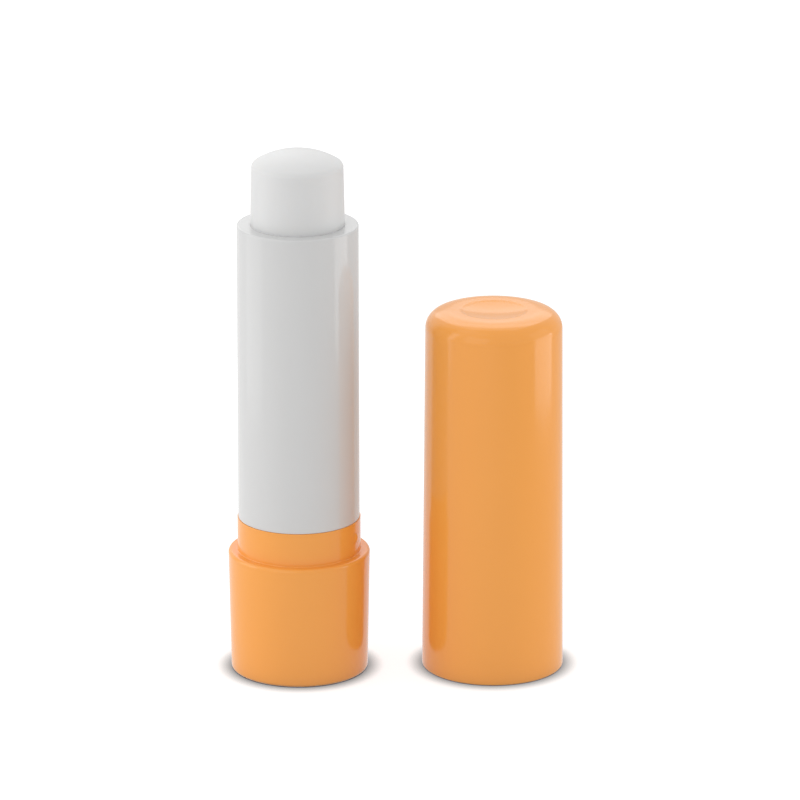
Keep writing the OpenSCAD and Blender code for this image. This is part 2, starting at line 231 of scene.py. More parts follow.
class CapSizes(bpy.types.PropertyGroup):
    """Sizes of the orange cap."""
    axis_x: length("Axis X", "Place of the cap's axis", (CAP_LOW[0] + CAP_HIGH[0]) / 2)
    axis_y: length("Axis Y", "Place of the cap's axis", (CAP_LOW[1] + CAP_HIGH[1]) / 2)
    height: length("Height", "Height of the crown's crest", CAP_HIGH[2] + 0.25 * MM)
    mouth_radius: length("Mouth radius", "Outer radius at the mouth", (CAP_HIGH[0] - CAP_LOW[0]) / 2)
    top_radius: length("Top radius", "Outer radius under the crown", 9.14 * MM)
    bore_radius: length("Bore radius", "Radius of the bore", 8.31 * MM)
    bore_height: length("Bore height", "Height of the bore", 45.85 * MM)
    hollow_radius: length("Hollow radius", "Radius of the hollow in the crown", 6.31 * MM)
    hollow_height: length("Hollow height", "Height of the top of that hollow", 47.25 * MM)
    hollow_round: length("Hollow rounding", "Rounding at the top of that hollow", 0.4 * MM)
    bore_round: length("Bore rounding", "Rounding at the top of the bore", 0.3 * MM)
    inner_mouth_round: length("Inner mouth rounding", "Rounding inside the mouth", 0.12 * MM)
    mouth_round: length("Mouth rounding", "Rounding outside the mouth", 0.2 * MM)
    side_round: length("Side rounding", "Lower, tighter radius of the crown's edge", 2.3 * MM)
    top_round: length("Top rounding", "Upper, wider radius of the crown's edge", 6.5 * MM)
    turn_angle: FloatProperty(name="Turn angle", description="Where the lower radius turns into the upper",
                              default=math.radians(72.2), subtype="ANGLE")
    dish_radius: length("Dish radius", "Radius of the dish in the crown", 4.6 * MM)
    dish_lip: length("Dish lip", "Rounding of the dish's rim", 1 * MM)
    wall_slope: FloatProperty(name="Dish wall", description="Slope of the dish's wall below its rim",
                              default=math.radians(21), subtype="ANGLE")
    dish_bend: length("Dish bend", "Radius between the dish's wall and floor", 1.5 * MM)
    dish_slope: FloatProperty(name="Dish slope", description="Slope of the dish's floor at its edge",
                              default=math.radians(8), subtype="ANGLE")
    groove_height: length("Groove height", "Height of the middle of the groove for the bumps", 2.3 * MM)
    groove_width: length("Groove width", "Width of the groove for the bumps", 2.4 * MM)
    groove_depth: length("Groove depth", "Depth of the groove for the bumps", 0.16 * MM)
    groove_round: length("Groove rounding", "Rounding of the groove's edges", 0.05 * MM)
    segments: IntProperty(name="Segments", description="Faces round the piece", default=256, min=16)


class Finishes(bpy.types.PropertyGroup):
    """Colours and gloss of the materials."""
    orange: colour("Orange", "Moulded orange plastic", (0.885, 0.357, 0.065))
    white: colour("White", "Moulded white plastic", (0.62, 0.62, 0.617))
    inner: colour("Inner white", "Natural white plastic inside", (0.82, 0.81, 0.78))
    wax: colour("Balm", "Cast balm", (0.69, 0.69, 0.687))
    gloss_roughness: FloatProperty(name="Plastic roughness", description="Roughness of the outer plastic",
                                   default=0.14, min=0, max=1)
    wax_roughness: FloatProperty(name="Balm roughness", description="Roughness of the balm",
                                 default=0.42, min=0, max=1)


class Studio(bpy.types.PropertyGroup):
    """Floor, lamps and camera."""
    camera_distance: length("Camera distance", "From the camera to the point it looks at", 0.85)
    camera_elevation: FloatProperty(name="Camera elevation", description="Angle above the horizon",
                                    default=math.radians(17.608), subtype="ANGLE")
    camera_lens: FloatProperty(name="Lens", description="Focal length in millimetres", default=287.14)
    aim_x: length("Aim X", "Point that the camera looks at", 13.526 * MM)
    aim_z: length("Aim Z", "Point that the camera looks at", 37.403 * MM)
    lamp_distance: length("Lamp distance", "From a wide lamp to the point that the camera looks at", 0.8)
    lamp_size: length("Lamp size", "Width and height of a wide lamp", 0.55)
    near_width: length("Near lamp width", "Width of a small lamp", 0.09)
    near_height: length("Near lamp height", "Height of a small lamp", 0.06)
    lamp_level: FloatProperty(name="Lamp level", description="Scales the power of all lamps", default=1.0)
    room_light: FloatProperty(name="Room light", description="Strength of the pale room", default=0.8)
    room_seen: FloatProperty(name="Room in reflections", description="What reflections see of the room",
                             default=0.82)
    floor_seen: FloatProperty(name="Floor in reflections", description="What reflections see of the floor",
                              default=1.0)
    # painted shade in reflections: the floor that they see darkens towards the right, down to a least level
    floor_shade_fall: FloatProperty(name="Floor fall-off", description="How much less that is, per metre of X",
                              default=3.0)
    floor_shade_least: FloatProperty(name="Floor at the right", description="The least that reflections see of it",
                               default=0.7)
    floor_size: length("Floor size", "Width of the floor", 4.0)
    floor_glow: FloatProperty(name="Floor glow", description="Light that the viewer sees the floor give",
                              default=1.45)
    glow_share: FloatProperty(name="Glow share", description="Share of that glow in what the viewer sees",
                              default=0.5, min=0, max=1)
    # painted contact shadow round each foot: how far it reaches and how dark it is
    painted_shadow_reach: length("Contact shadow", "How far the dark line round a foot reaches", 2.4 * MM)
    painted_shadow_depth: FloatProperty(name="Contact depth", description="How dark that line is", default=1.6)


class Link:
    """A socket of a node tree, with arithmetic that adds Math nodes."""

    def __init__(self, tree, socket):
        self.tree = tree
        self.socket = socket

    def _math(self, operation, *values):
        return self.tree.add("ShaderNodeMath", {"operation": operation}, dict(enumerate(values)))

    def __add__(self, other):
        return self._math("ADD", self, other)

    def __sub__(self, other):
        return self._math("SUBTRACT", self, other)

    def __rsub__(self, other):
        return self._math("SUBTRACT", other, self)

    def __mul__(self, other):
        return self._math("MULTIPLY", self, other)

    def __truediv__(self, other):
        return self._math("DIVIDE", self, other)

    __radd__ = __add__
    __rmul__ = __mul__

    def floor(self):
        return self._math("FLOOR", self)

    def modulo(self, other):
        return self._math("FLOORED_MODULO", self, other)

    def cos(self):
        return self._math("COSINE", self)

    def sin(self):
        return self._math("SINE", self)

    def power(self, other):
        return self._math("POWER", self, other)

    def least(self, other):
        return self._math("MINIMUM", self, other)

    def most(self, other):
        return self._math("MAXIMUM", self, other)


class Tree:
    """A node tree with one method that adds any node."""

    def __init__(self, nodes, links):
        self.nodes = nodes
        self.links = links

    def add(self, kind, settings=None, inputs=None, output=0):
        """Adds a node, sets its settings, then the values or links of its sockets."""
        node = self.nodes.new(kind)
        for name, value in (settings or {}).items():
            setattr(node, name, value)
        for name, value in (inputs or {}).items():
            socket = node.inputs[name]
            if isinstance(value, Link):
                self.links.new(value.socket, socket)
            else:
                socket.default_value = value
        return Link(self, node.outputs[output])

    def end(self, kind, inputs):
        """Adds a node that has no output."""
        node = self.nodes.new(kind)
        for name, value in inputs.items():
            self.links.new(value.socket, node.inputs[name])

    def mix(self, factor, first, second):
        """A mix of two linear colours."""
        return self.add("ShaderNodeMix", {"data_type": "RGBA"}, {
            "Factor": factor, 6: (*first, 1), 7: (*second, 1)}, output=2)


# Outlines

def rounded(corners, steps=CORNER_STEPS):
    """An outline through (radius, height, rounding) corners, with arcs where the rounding isn't 0."""
    points = []
    last = len(corners) - 1
    for i, (x, z, rounding) in enumerate(corners):
        here = Vector((x, z))
        if not rounding or i in (0, last):
            points.append(here)
            continue
        back = (Vector(corners[i - 1][:2]) - here).normalized()
        on = (Vector(corners[i + 1][:2]) - here).normalized()
        half = back.angle(on) / 2
        reach = rounding / math.tan(half)
        centre = here + (back + on).normalized() * (rounding / math.sin(half))
        start = here + back * reach
        stop = here + on * reach
        first = start - centre
        turn = first.angle_signed(stop - centre)
        points.append(start + back * SUPPORT)
        for k in range(steps + 1):
            a = -turn * k / steps
            points.append(centre + Vector((first.x * math.cos(a) - first.y * math.sin(a),
                                           first.x * math.sin(a) + first.y * math.cos(a))))
        points.append(stop + on * SUPPORT)
    return points


def arc(centre, radius, start, stop, steps):
    """Points of an arc between two angles, both ends included."""
    return [Vector((centre[0] + radius * math.cos(start + (stop - start) * k / steps),
                    centre[1] + radius * math.sin(start + (stop - start) * k / steps)))
            for k in range(steps + 1)]


def outline_object(points):
    """A loose line of edges that the node trees read: radius along X, height along Z."""
    mesh = bpy.data.meshes.new("outline")
    mesh.from_pydata([(p.x, 0, p.y) for p in points], [(i, i + 1) for i in range(len(points) - 1)], [])
    obj = bpy.data.objects.new("outline", mesh)
    bpy.context.scene.collection.objects.link(obj)
    return obj


# Geometry node trees

def new_group(name, sockets):
    """A geometry node group with these (name, kind) inputs after its geometry."""
    group = bpy.data.node_groups.new(name, "GeometryNodeTree")
    group.interface.new_socket("Geometry", in_out="INPUT", socket_type="NodeSocketGeometry")
    for label, kind in sockets:
        group.interface.new_socket(label, in_out="INPUT", socket_type=kind)
    group.interface.new_socket("Geometry", in_out="OUTPUT", socket_type="NodeSocketGeometry")
    return group, Tree(group.nodes, group.links)


def group_inputs(tree):
    """The group's input sockets by name."""
    node = tree.nodes.new("NodeGroupInput")
    return {socket.name: Link(tree, socket) for socket in node.outputs if socket.name}


def swept_grid(tree, given, columns):
    """A grid whose rows follow the outline: (grid, outline point, column number)."""
    rows = tree.add("GeometryNodeAttributeDomainSize", {"component": "MESH"},
                    {"Geometry": given["Geometry"]})
    grid = tree.add("GeometryNodeMeshGrid", {}, {"Vertices X": columns, "Vertices Y": rows})
    index = tree.add("GeometryNodeInputIndex")
    point = tree.add("GeometryNodeSampleIndex", {"data_type": "FLOAT_VECTOR", "domain": "POINT"},
                     {"Geometry": given["Geometry"], "Value": tree.add("GeometryNodeInputPosition"),
                      "Index": index.modulo(rows)})
    return grid, point, (index / rows).floor()


def finish_group(tree, grid, position, material):
    """Places the grid's points, closes its seams and ends the tree."""
    moved = tree.add("GeometryNodeSetPosition", {}, {"Geometry": grid, "Position": position})
    merged = tree.add("GeometryNodeMergeByDistance", {}, {"Geometry": moved, "Distance": MERGE})
    end_group(tree, merged, material)


def end_group(tree, geometry, material):
    """Realizes, shades and paints the geometry, and ends the tree."""
    real = tree.add("GeometryNodeRealizeInstances", {}, {"Geometry": geometry})
    smooth = tree.add("GeometryNodeSetShadeSmooth", {}, {"Geometry": real})
    painted = tree.add("GeometryNodeSetMaterial", {}, {"Geometry": smooth, "Material": material})
    tree.end("NodeGroupOutput", {"Geometry": painted})


def components(tree, vector):
    """The x, y and z of a vector."""
    node = tree.add("ShaderNodeSeparateXYZ", {}, {0: vector}).socket.node
    return [Link(tree, socket) for socket in node.outputs]


def turned_group():
    """Turns an outline round an upright axis."""
    group, tree = new_group("Turned part", (
        ("Segments", "NodeSocketInt"), ("Axis X", "NodeSocketFloat"), ("Axis Y", "NodeSocketFloat"),
        ("Material", "NodeSocketMaterial")))
    given = group_inputs(tree)
    grid, point, column = swept_grid(tree, given, given["Segments"] + 1)
    radius, _, height = components(tree, point)
    angle = column.modulo(given["Segments"]) * (2 * math.pi) / given["Segments"]
    position = tree.add("ShaderNodeCombineXYZ", {}, {
        0: radius * angle.cos() + given["Axis X"], 1: radius * angle.sin() + given["Axis Y"], 2: height})
    finish_group(tree, grid, position, given["Material"])
    return group


def thread_group():
    """Sweeps a thread's section along a left-hand helix, and runs it out at both ends."""
    group, tree = new_group("Screw thread", (
        ("Lead", "NodeSocketFloat"), ("Start", "NodeSocketFloat"), ("End", "NodeSocketFloat"),
        ("Phase height", "NodeSocketFloat"), ("Steps per turn", "NodeSocketInt"),
        ("Root radius", "NodeSocketFloat"), ("Material", "NodeSocketMaterial")))
    given = group_inputs(tree)
    step = given["Lead"] / given["Steps per turn"]
    last = ((given["End"] - given["Start"]) / step).floor()
    grid, point, column = swept_grid(tree, given, last + 1)
    reach, _, rise = components(tree, point)
    height = given["Start"] + column * step
    angle = (height - given["Phase height"]) / given["Lead"] * (-2 * math.pi)
    run_out = given["Steps per turn"] / 4
    share = column.least(last - column).least(run_out) / run_out
    radius = given["Root radius"] + (reach - given["Root radius"]) * share
    position = tree.add("ShaderNodeCombineXYZ", {}, {
        0: radius * angle.cos(), 1: radius * angle.sin(), 2: height + rise * share})
    finish_group(tree, grid, position, given["Material"])
    return group


def around_group():
    """Repeats a shape round the stick's axis."""
    group, tree = new_group("Around the axis", (("Count", "NodeSocketInt"),
                                                ("Material", "NodeSocketMaterial")))
    given = group_inputs(tree)
    points = tree.add("GeometryNodeMeshLine", {"mode": "OFFSET"},
                      {"Count": given["Count"], "Offset": (0, 0, 0)})
    turn = tree.add("GeometryNodeInputIndex") * (2 * math.pi) / given["Count"]
    rotation = tree.add("ShaderNodeCombineXYZ", {}, {2: turn})
    copies = tree.add("GeometryNodeInstanceOnPoints", {}, {
        "Points": points, "Instance": given["Geometry"], "Rotation": rotation})
    end_group(tree, copies, given["Material"])
    return group


def made_by(group, source, values):
    """The plain mesh that a node group makes of the source object, which is then removed."""
    modifier = source.modifiers.new(group.name, "NODES")
    modifier.node_group = group
    for item in group.interface.items_tree:
        if item.in_out == "INPUT" and item.name in values:
            modifier[item.identifier] = values[item.name]
    depsgraph = bpy.context.evaluated_depsgraph_get()
    mesh = bpy.data.meshes.new_from_object(source.evaluated_get(depsgraph), depsgraph=depsgraph)
    used = source.data
    bpy.data.objects.remove(source)
    bpy.data.meshes.remove(used)
    return mesh


# Pieces

def turned(points, segments, material, axis=(0.0, 0.0)):
    """The mesh of a turned part."""
    group = bpy.data.node_groups.get("Turned part") or turned_group()
    return made_by(group, outline_object(points), {
        "Segments": segments, "Axis X": axis[0], "Axis Y": axis[1], "Material": material})


def piece(name, meshes, body, nodes, material):
    """One object of one or more closed meshes, with outward faces, that stands for CAD nodes."""
    whole = bmesh.new()
    for mesh in meshes:
        whole.from_mesh(mesh)
    bmesh.ops.recalc_face_normals(whole, faces=whole.faces)
    for face in whole.faces:
        face.smooth = True
        face.material_index = 0
    result = bpy.data.meshes.new(name)
    whole.to_mesh(result)
    whole.free()
    result.materials.clear()
    result.materials.append(material)
    result.set_sharp_from_angle(angle=SHARP_ANGLE)
    obj = bpy.data.objects.new(name, result)
    bpy.context.scene.collection.objects.link(obj)
    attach(obj, body)
    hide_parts(*nodes)
    return obj


def prism(sides, radius, low, high):
    """An upright prism on the axis, its corners at that radius."""
    mesh = bpy.data.meshes.new("prism")
    shape = bmesh.new()
    rings = [[shape.verts.new((radius * math.cos(2 * math.pi * k / sides),
                               radius * math.sin(2 * math.pi * k / sides), z)) for k in range(sides)]
             for z in (low, high)]
    for k in range(sides):
        shape.faces.new((rings[0][k], rings[0][(k + 1) % sides], rings[1][(k + 1) % sides], rings[1][k]))
    shape.faces.new(reversed(rings[0]))
    shape.faces.new(rings[1])
    shape.to_mesh(mesh)
    shape.free()
    return mesh


def block(low, high, bevel):
    """A box between two corners with narrow bevels, as an object for a node tree."""
    mesh = bpy.data.meshes.new("block")
    shape = bmesh.new()
    bmesh.ops.create_cube(shape, size=1)
    for vert in shape.verts:
        vert.co = Vector([(a + b) / 2 + c * (b - a) for a, b, c in zip(low, high, vert.co)])
    bmesh.ops.bevel(shape, geom=shape.edges[:], offset=bevel, segments=2, affect="EDGES", profile=0.5)
    shape.to_mesh(mesh)
    shape.free()
    obj = bpy.data.objects.new("block", mesh)
    bpy.context.scene.collection.objects.link(obj)
    return obj


# Materials

def new_material(name):
    """A material with one Principled shader: (material, tree, shader node)."""
    material = bpy.data.materials.new(name)
    material.use_nodes = True
    nodes = material.node_tree.nodes
    shader = next(n for n in nodes if n.type == "BSDF_PRINCIPLED")
    return material, Tree(nodes, material.node_tree.links), shader


def noise(tree, kind):
    """A noise field over the piece, from 0 to 1."""
    scale, detail, roughness = NOISES[kind]
    place = tree.add("ShaderNodeTexCoord", output="Object")
    return tree.add("ShaderNodeTexNoise", {"noise_dimensions": "3D"}, {
        "Vector": place, "Scale": scale, "Detail": detail, "Roughness": roughness}, output="Fac")


def tinted(tree, base, change, fac):
    """A colour that wanders between a little darker and a little lighter than the base."""
    return tree.mix(fac, [c * (1 - change) for c in base], [min(1, c * (1 + change)) for c in base])


def plastic(name, base, roughness, grain):
    """Moulded plastic: faint colour drift, uneven gloss and a fine moulded grain."""
    material, tree, shader = new_material(name)
    drift = noise(tree, "drift")
    tree.links.new(tinted(tree, base, COLOUR_DRIFT, drift).socket, shader.inputs["Base Color"])
    gloss = (noise(tree, "gloss") - 0.5) * GLOSS_RANGE + roughness
    tree.links.new(gloss.socket, shader.inputs["Roughness"])
    height = noise(tree, "grain") * GRAIN_SHARE + noise(tree, "wave")
    bump = tree.add("ShaderNodeBump", {}, {
        "Strength": grain, "Distance": GRAIN_HEIGHT, "Height": height})
    tree.links.new(bump.socket, shader.inputs["Normal"])
    shader.inputs["IOR"].default_value = PLASTIC_IOR
    return material


def wax(name, base, roughness):
    """Cast balm: soft light under the surface, faint clouding and a waxy skin."""
    material, tree, shader = new_material(name)
    cloud = noise(tree, "cloud")
    tree.links.new(tinted(tree, base, WAX_CLOUDING, cloud).socket, shader.inputs["Base Color"])
    skin = noise(tree, "skin")
    gloss = (skin - 0.5) * WAX_GLOSS_RANGE + roughness
    tree.links.new(gloss.socket, shader.inputs["Roughness"])
    bump = tree.add("ShaderNodeBump", {}, {
        "Strength": SKIN_STRENGTH, "Distance": SKIN_HEIGHT, "Height": skin + cloud * CLOUD_SHARE})
    tree.links.new(bump.socket, shader.inputs["Normal"])
    shader.inputs["IOR"].default_value = WAX_IOR
    shader.inputs["Subsurface Weight"].default_value = LIGHT_SHARE
    shader.inputs["Subsurface Radius"].default_value = LIGHT_REACH
    shader.inputs["Subsurface Scale"].default_value = LIGHT_DEPTH
    return material


def finish(slot):
    """The material of a slot, made when first asked for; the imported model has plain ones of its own."""
    name = slot + "_finish"
    if name in bpy.data.materials:
        return bpy.data.materials[name]
    looks = bpy.context.scene.balm_finishes
    makers = {
        "orange_plastic": lambda: plastic(name, looks.orange, looks.gloss_roughness, OUTER_GRAIN),
        "white_plastic": lambda: plastic(name, looks.white, looks.gloss_roughness, OUTER_GRAIN),
        "inner_plastic": lambda: plastic(name, looks.inner, INNER_ROUGHNESS, INNER_GRAIN),
        "balm_wax": lambda: wax(name, looks.wax, looks.wax_roughness),
    }
    return makers[slot]()


def raise_bumps(mesh, size):
    """Raises the round bumps on the collar of the base."""
    for vert in mesh.vertices:
        x, y, z = vert.co
        radius = math.hypot(x, y)
        if abs(radius - size.collar_radius) > MERGE or abs(z - size.bump_level) > size.bump_radius:
            continue
        around = math.atan2(y, x) - size.bump_angle
        pitch = 2 * math.pi / size.bump_count
        around = (around + pitch / 2) % pitch - pitch / 2
        away = math.hypot(around * radius, z - size.bump_level) / size.bump_radius
        if away < 1:
            grown = 1 + size.bump_height * (1 - away ** 2) * (1 - away ** 6) / radius
            vert.co.x, vert.co.y = x * grown, y * grown


def press_grooves(mesh, size, count):
    """Presses the ribs' grooves into the side of the balm."""
    pitch = 2 * math.pi / count
    for vert in mesh.vertices:
        x, y, z = vert.co
        radius = math.hypot(x, y)
        if radius <= size.groove_radius or z > size.groove_top:
            continue
        around = (math.atan2(y, x) + pitch / 2) % pitch - pitch / 2
        if abs(math.sin(around) * radius) <= size.groove_width / 2:
            vert.co.x, vert.co.y = x * size.groove_radius / radius, y * size.groove_radius / radius


class BALM_OT_base(bpy.types.Operator):
    """Make the orange base: dial, shoulder and collar with its two bumps"""
    bl_idname = "balm.base"
    bl_label = "Base"

    def execute(self, context):
        size = context.scene.balm_base
        snap_low = size.snap_height - size.snap_width / 2
        snap_high = size.snap_height + size.snap_width / 2
        corners = [
            (0, size.recess_depth, 0), (size.recess_radius, size.recess_depth, size.recess_round),
            (size.recess_radius, 0, HIDDEN_ROUND), (size.foot_radius, 0, size.foot_round),
            (size.shoulder_radius, size.shoulder_height, size.shoulder_round),
            (size.collar_radius, size.shoulder_height, size.collar_foot_round),
            (size.collar_radius, size.collar_height, size.collar_round),
            (size.bore_radius, size.collar_height, HIDDEN_ROUND),
            (size.bore_radius, snap_high, 0), (size.bore_radius + size.snap_depth, snap_high, 0),
            (size.bore_radius + size.snap_depth, snap_low, 0), (size.bore_radius, snap_low, 0),
            (size.bore_radius, size.floor_height, 0), (size.boss_radius, size.floor_height, 0),
            (size.boss_radius, size.boss_top, 0), (size.socket_radius, size.boss_top, 0),
            (size.socket_radius, size.socket_floor, 0), (0, size.socket_floor, 0)]
        material = finish("orange_plastic")
        mesh = turned(self.with_bump_rings(rounded(corners), size), size.segments, material)
        raise_bumps(mesh, size)
        piece("base_shell", [mesh], "base", ["base"], material)
        return {"FINISHED"}

    @staticmethod
    def with_bump_rings(points, size):
        """Adds rings to the collar's wall where the bumps are."""
        reach = BUMP_REACH * size.bump_radius
        result = []
        for below, above in zip(points, points[1:]):
            result.append(below)
            on_wall = max(abs(below.x - size.collar_radius), abs(above.x - size.collar_radius)) < MERGE
            if on_wall and above.y - below.y > 2 * size.bump_radius:
                low = size.bump_level - reach
                result += [Vector((size.collar_radius, low + 2 * reach * k / BUMP_RINGS))
                           for k in range(BUMP_RINGS + 1)]
        return result + [points[-1]]


class BALM_OT_barrel(bpy.types.Operator):
    """Make the white barrel with its lower tube, snap ring and guide ribs"""
    bl_idname = "balm.barrel"
    bl_label = "Barrel"

    def execute(self, context):
        size = context.scene.balm_barrel
        corners = [
            (size.bore_radius, size.spigot_bottom, 0),
            (size.spigot_radius, size.spigot_bottom, HIDDEN_ROUND),
            (size.spigot_radius, size.snap_height - size.snap_width / 2, 0),
            (size.spigot_radius + size.snap_depth, size.snap_height - size.snap_width / 6, HIDDEN_ROUND),
            (size.spigot_radius + size.snap_depth, size.snap_height + size.snap_width / 6, HIDDEN_ROUND),
            (size.spigot_radius, size.snap_height + size.snap_width / 2, 0),
            (size.spigot_radius, size.seam_height, 0),
            (size.bottom_radius, size.seam_height, size.seam_round),
            (size.top_radius, size.rim_height, size.rim_round),
            (size.bore_radius, size.rim_height, size.lip_round),
            (size.bore_radius, size.spigot_bottom, 0)]
        material = finish("white_plastic")
        tube = turned(rounded(corners), size.segments, material)
        rib = block((size.bore_radius - size.rib_depth, -size.rib_width / 2, size.spigot_bottom + SUPPORT),
                    (size.bore_radius + OVERLAP, size.rib_width / 2, size.rib_top), size.rib_bevel)
        ribs = made_by(around_group(), rib, {"Count": size.rib_count, "Material": material})
        piece("barrel_tube", [tube, ribs], "barrel", ["barrel"], material)
        return {"FINISHED"}


class BALM_OT_balm(bpy.types.Operator):
    """Make the cast balm with its domed tip"""
    bl_idname = "balm.balm"
    bl_label = "Balm"

    def execute(self, context):
        size = context.scene.balm_balm
        dome_z = size.tip_height - size.dome_radius
        edge_x = size.nose_radius - size.edge_radius
        edge_z = dome_z + math.sqrt((size.dome_radius - size.edge_radius) ** 2 - edge_x ** 2)
        lean = math.atan2(edge_z - dome_z, edge_x)
        edge_steps, dome_steps = 12, 48
        foot = [Vector(p) for p in (
            (0, size.hole_top), (size.hole_radius, size.hole_top), (size.hole_radius, size.bottom),
            (size.radius, size.bottom), (size.radius, size.groove_top - SUPPORT),
            (size.radius, size.groove_top + SUPPORT),
            (size.radius, size.nose_height), (size.nose_radius, edge_z - SUPPORT))]
        points = foot + arc((edge_x, edge_z), size.edge_radius, 0, lean, edge_steps)
        points += arc((0, dome_z), size.dome_radius, lean, math.pi / 2, dome_steps)[1:]
        points[-1].x = 0
        material = finish("balm_wax")
        mesh = turned(points, size.segments, material)
        press_grooves(mesh, size, context.scene.balm_barrel.rib_count)
        piece("balm_cast", [mesh], "carrier", ["balm"], material)
        return {"FINISHED"}


class BALM_OT_screw(bpy.types.Operator):
    """Make the lead screw, and give the carrier that climbs it its plastic"""
    bl_idname = "balm.screw"
    bl_label = "Lead screw and carrier"

    def execute(self, context):
        size = context.scene.balm_screw
        material = finish("inner_plastic")
        corners = [
            (0, size.flange_bottom, 0), (size.flange_radius, size.flange_bottom, 0),
            (size.flange_radius, size.flange_top, size.flange_round),
            (size.core_radius, size.flange_top, size.root_round),
            (size.core_radius, size.top, size.end_round), (0, size.top, 0)]
        rod = turned(rounded(corners), size.segments, material)
        plug = prism(6, size.plug_flats / 2 / math.cos(math.pi / 6), size.plug_bottom,
                     size.flange_bottom + OVERLAP)
        root = size.core_radius - OVERLAP
        flank = (size.root_width - size.crest_width) / 2 / (size.thread_radius - size.core_radius)
        foot = size.root_width / 2 + OVERLAP * flank
        section = rounded([
            (root, 0, 0), (root, -foot, 0), (size.thread_radius, -size.crest_width / 2, size.crest_round),
            (size.thread_radius, size.crest_width / 2, size.crest_round), (root, foot, 0),
            (root, 0, 0)], THREAD_CORNER_STEPS)
        thread = made_by(thread_group(), outline_object(section), {
            "Lead": size.lead, "Start": size.thread_start, "End": size.thread_end,
            "Phase height": size.phase_height, "Steps per turn": size.steps_per_turn, "Root radius": root,
            "Material": material})
        piece("spindle_screw", [rod, plug, thread], "base", ["spindle"], material)
        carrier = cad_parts["carrier"]
        for entry in carrier.material_slots:
            entry.material = material
        return {"FINISHED"}


class BALM_OT_cap(bpy.types.Operator):
    """Make the orange cap with its dished crown"""
    bl_idname = "balm.cap"
    bl_label = "Cap"

    def execute(self, context):
        size = context.scene.balm_cap
        # centres of the crown's arcs: side, top, the dish's lip, its bend and its floor
        meeting = Vector((math.cos(size.turn_angle), math.sin(size.turn_angle)))
        step = meeting * (size.side_round - size.top_round)
        top = Vector((size.top_radius - size.side_round + step.x, size.height - size.top_round))
        side = top - step
        lip = Vector((size.dish_radius, size.height - size.dish_lip))
        inward = Vector((-math.sin(size.wall_slope), math.cos(size.wall_slope)))
        bend = lip + inward * (size.dish_lip + size.dish_bend)
        floor_radius = bend.x / math.sin(size.dish_slope) + size.dish_bend
        floor = Vector((0, bend.y + (floor_radius - size.dish_bend) * math.cos(size.dish_slope)))
        quarter = math.pi / 2
        side_steps, top_steps, lip_steps, floor_steps = 14, 18, 8, 24
        groove_low = size.groove_height - size.groove_width / 2
        groove_high = size.groove_height + size.groove_width / 2
        deep = size.bore_radius + size.groove_depth
        inside = rounded([
            (0, size.hollow_height, 0), (size.hollow_radius, size.hollow_height, size.hollow_round),
            (size.bore_radius, size.bore_height, size.bore_round),
            (size.bore_radius, groove_high, size.groove_round),
            (deep, groove_high, size.groove_round), (deep, groove_low, size.groove_round),
            (size.bore_radius, groove_low, size.groove_round),
            (size.bore_radius, 0, size.inner_mouth_round),
            (size.mouth_radius, 0, size.mouth_round), (size.top_radius, side.y, 0)])[:-1]
        outside = [Vector((size.top_radius, side.y - SUPPORT))]
        outside += arc(side, size.side_round, 0, size.turn_angle, side_steps)
        outside += arc(top, size.top_round, size.turn_angle, quarter, top_steps)[1:]
        outside += [Vector((lip.x + SUPPORT, size.height))]
        outside += arc(lip, size.dish_lip, quarter, quarter + size.wall_slope, lip_steps)
        outside += arc(bend, size.dish_bend, size.wall_slope - quarter, size.dish_slope - quarter,
                       lip_steps)[1:]
        outside += arc(floor, floor_radius, size.dish_slope - quarter, -quarter, floor_steps)[1:]
        outside[-1].x = 0
        material = finish("orange_plastic")
        mesh = turned(inside + outside, size.segments, material, (size.axis_x, size.axis_y))
        piece("cap_shell", [mesh], "cap", ["cap"], material)
        return {"FINISHED"}


def light_path(tree):
    """1 for camera rays, and 1 for glossy and transmitted rays."""
    node = tree.add("ShaderNodeLightPath").socket.node
    camera, glossy, through = (Link(tree, node.outputs[name]) for name in (
        "Is Camera Ray", "Is Glossy Ray", "Is Transmission Ray"))
    return camera, glossy.most(through)


def mixed(tree, factor, first, second):
    """A mix of two shaders."""
    return tree.add("ShaderNodeMixShader", {}, {0: factor, 1: first, 2: second})


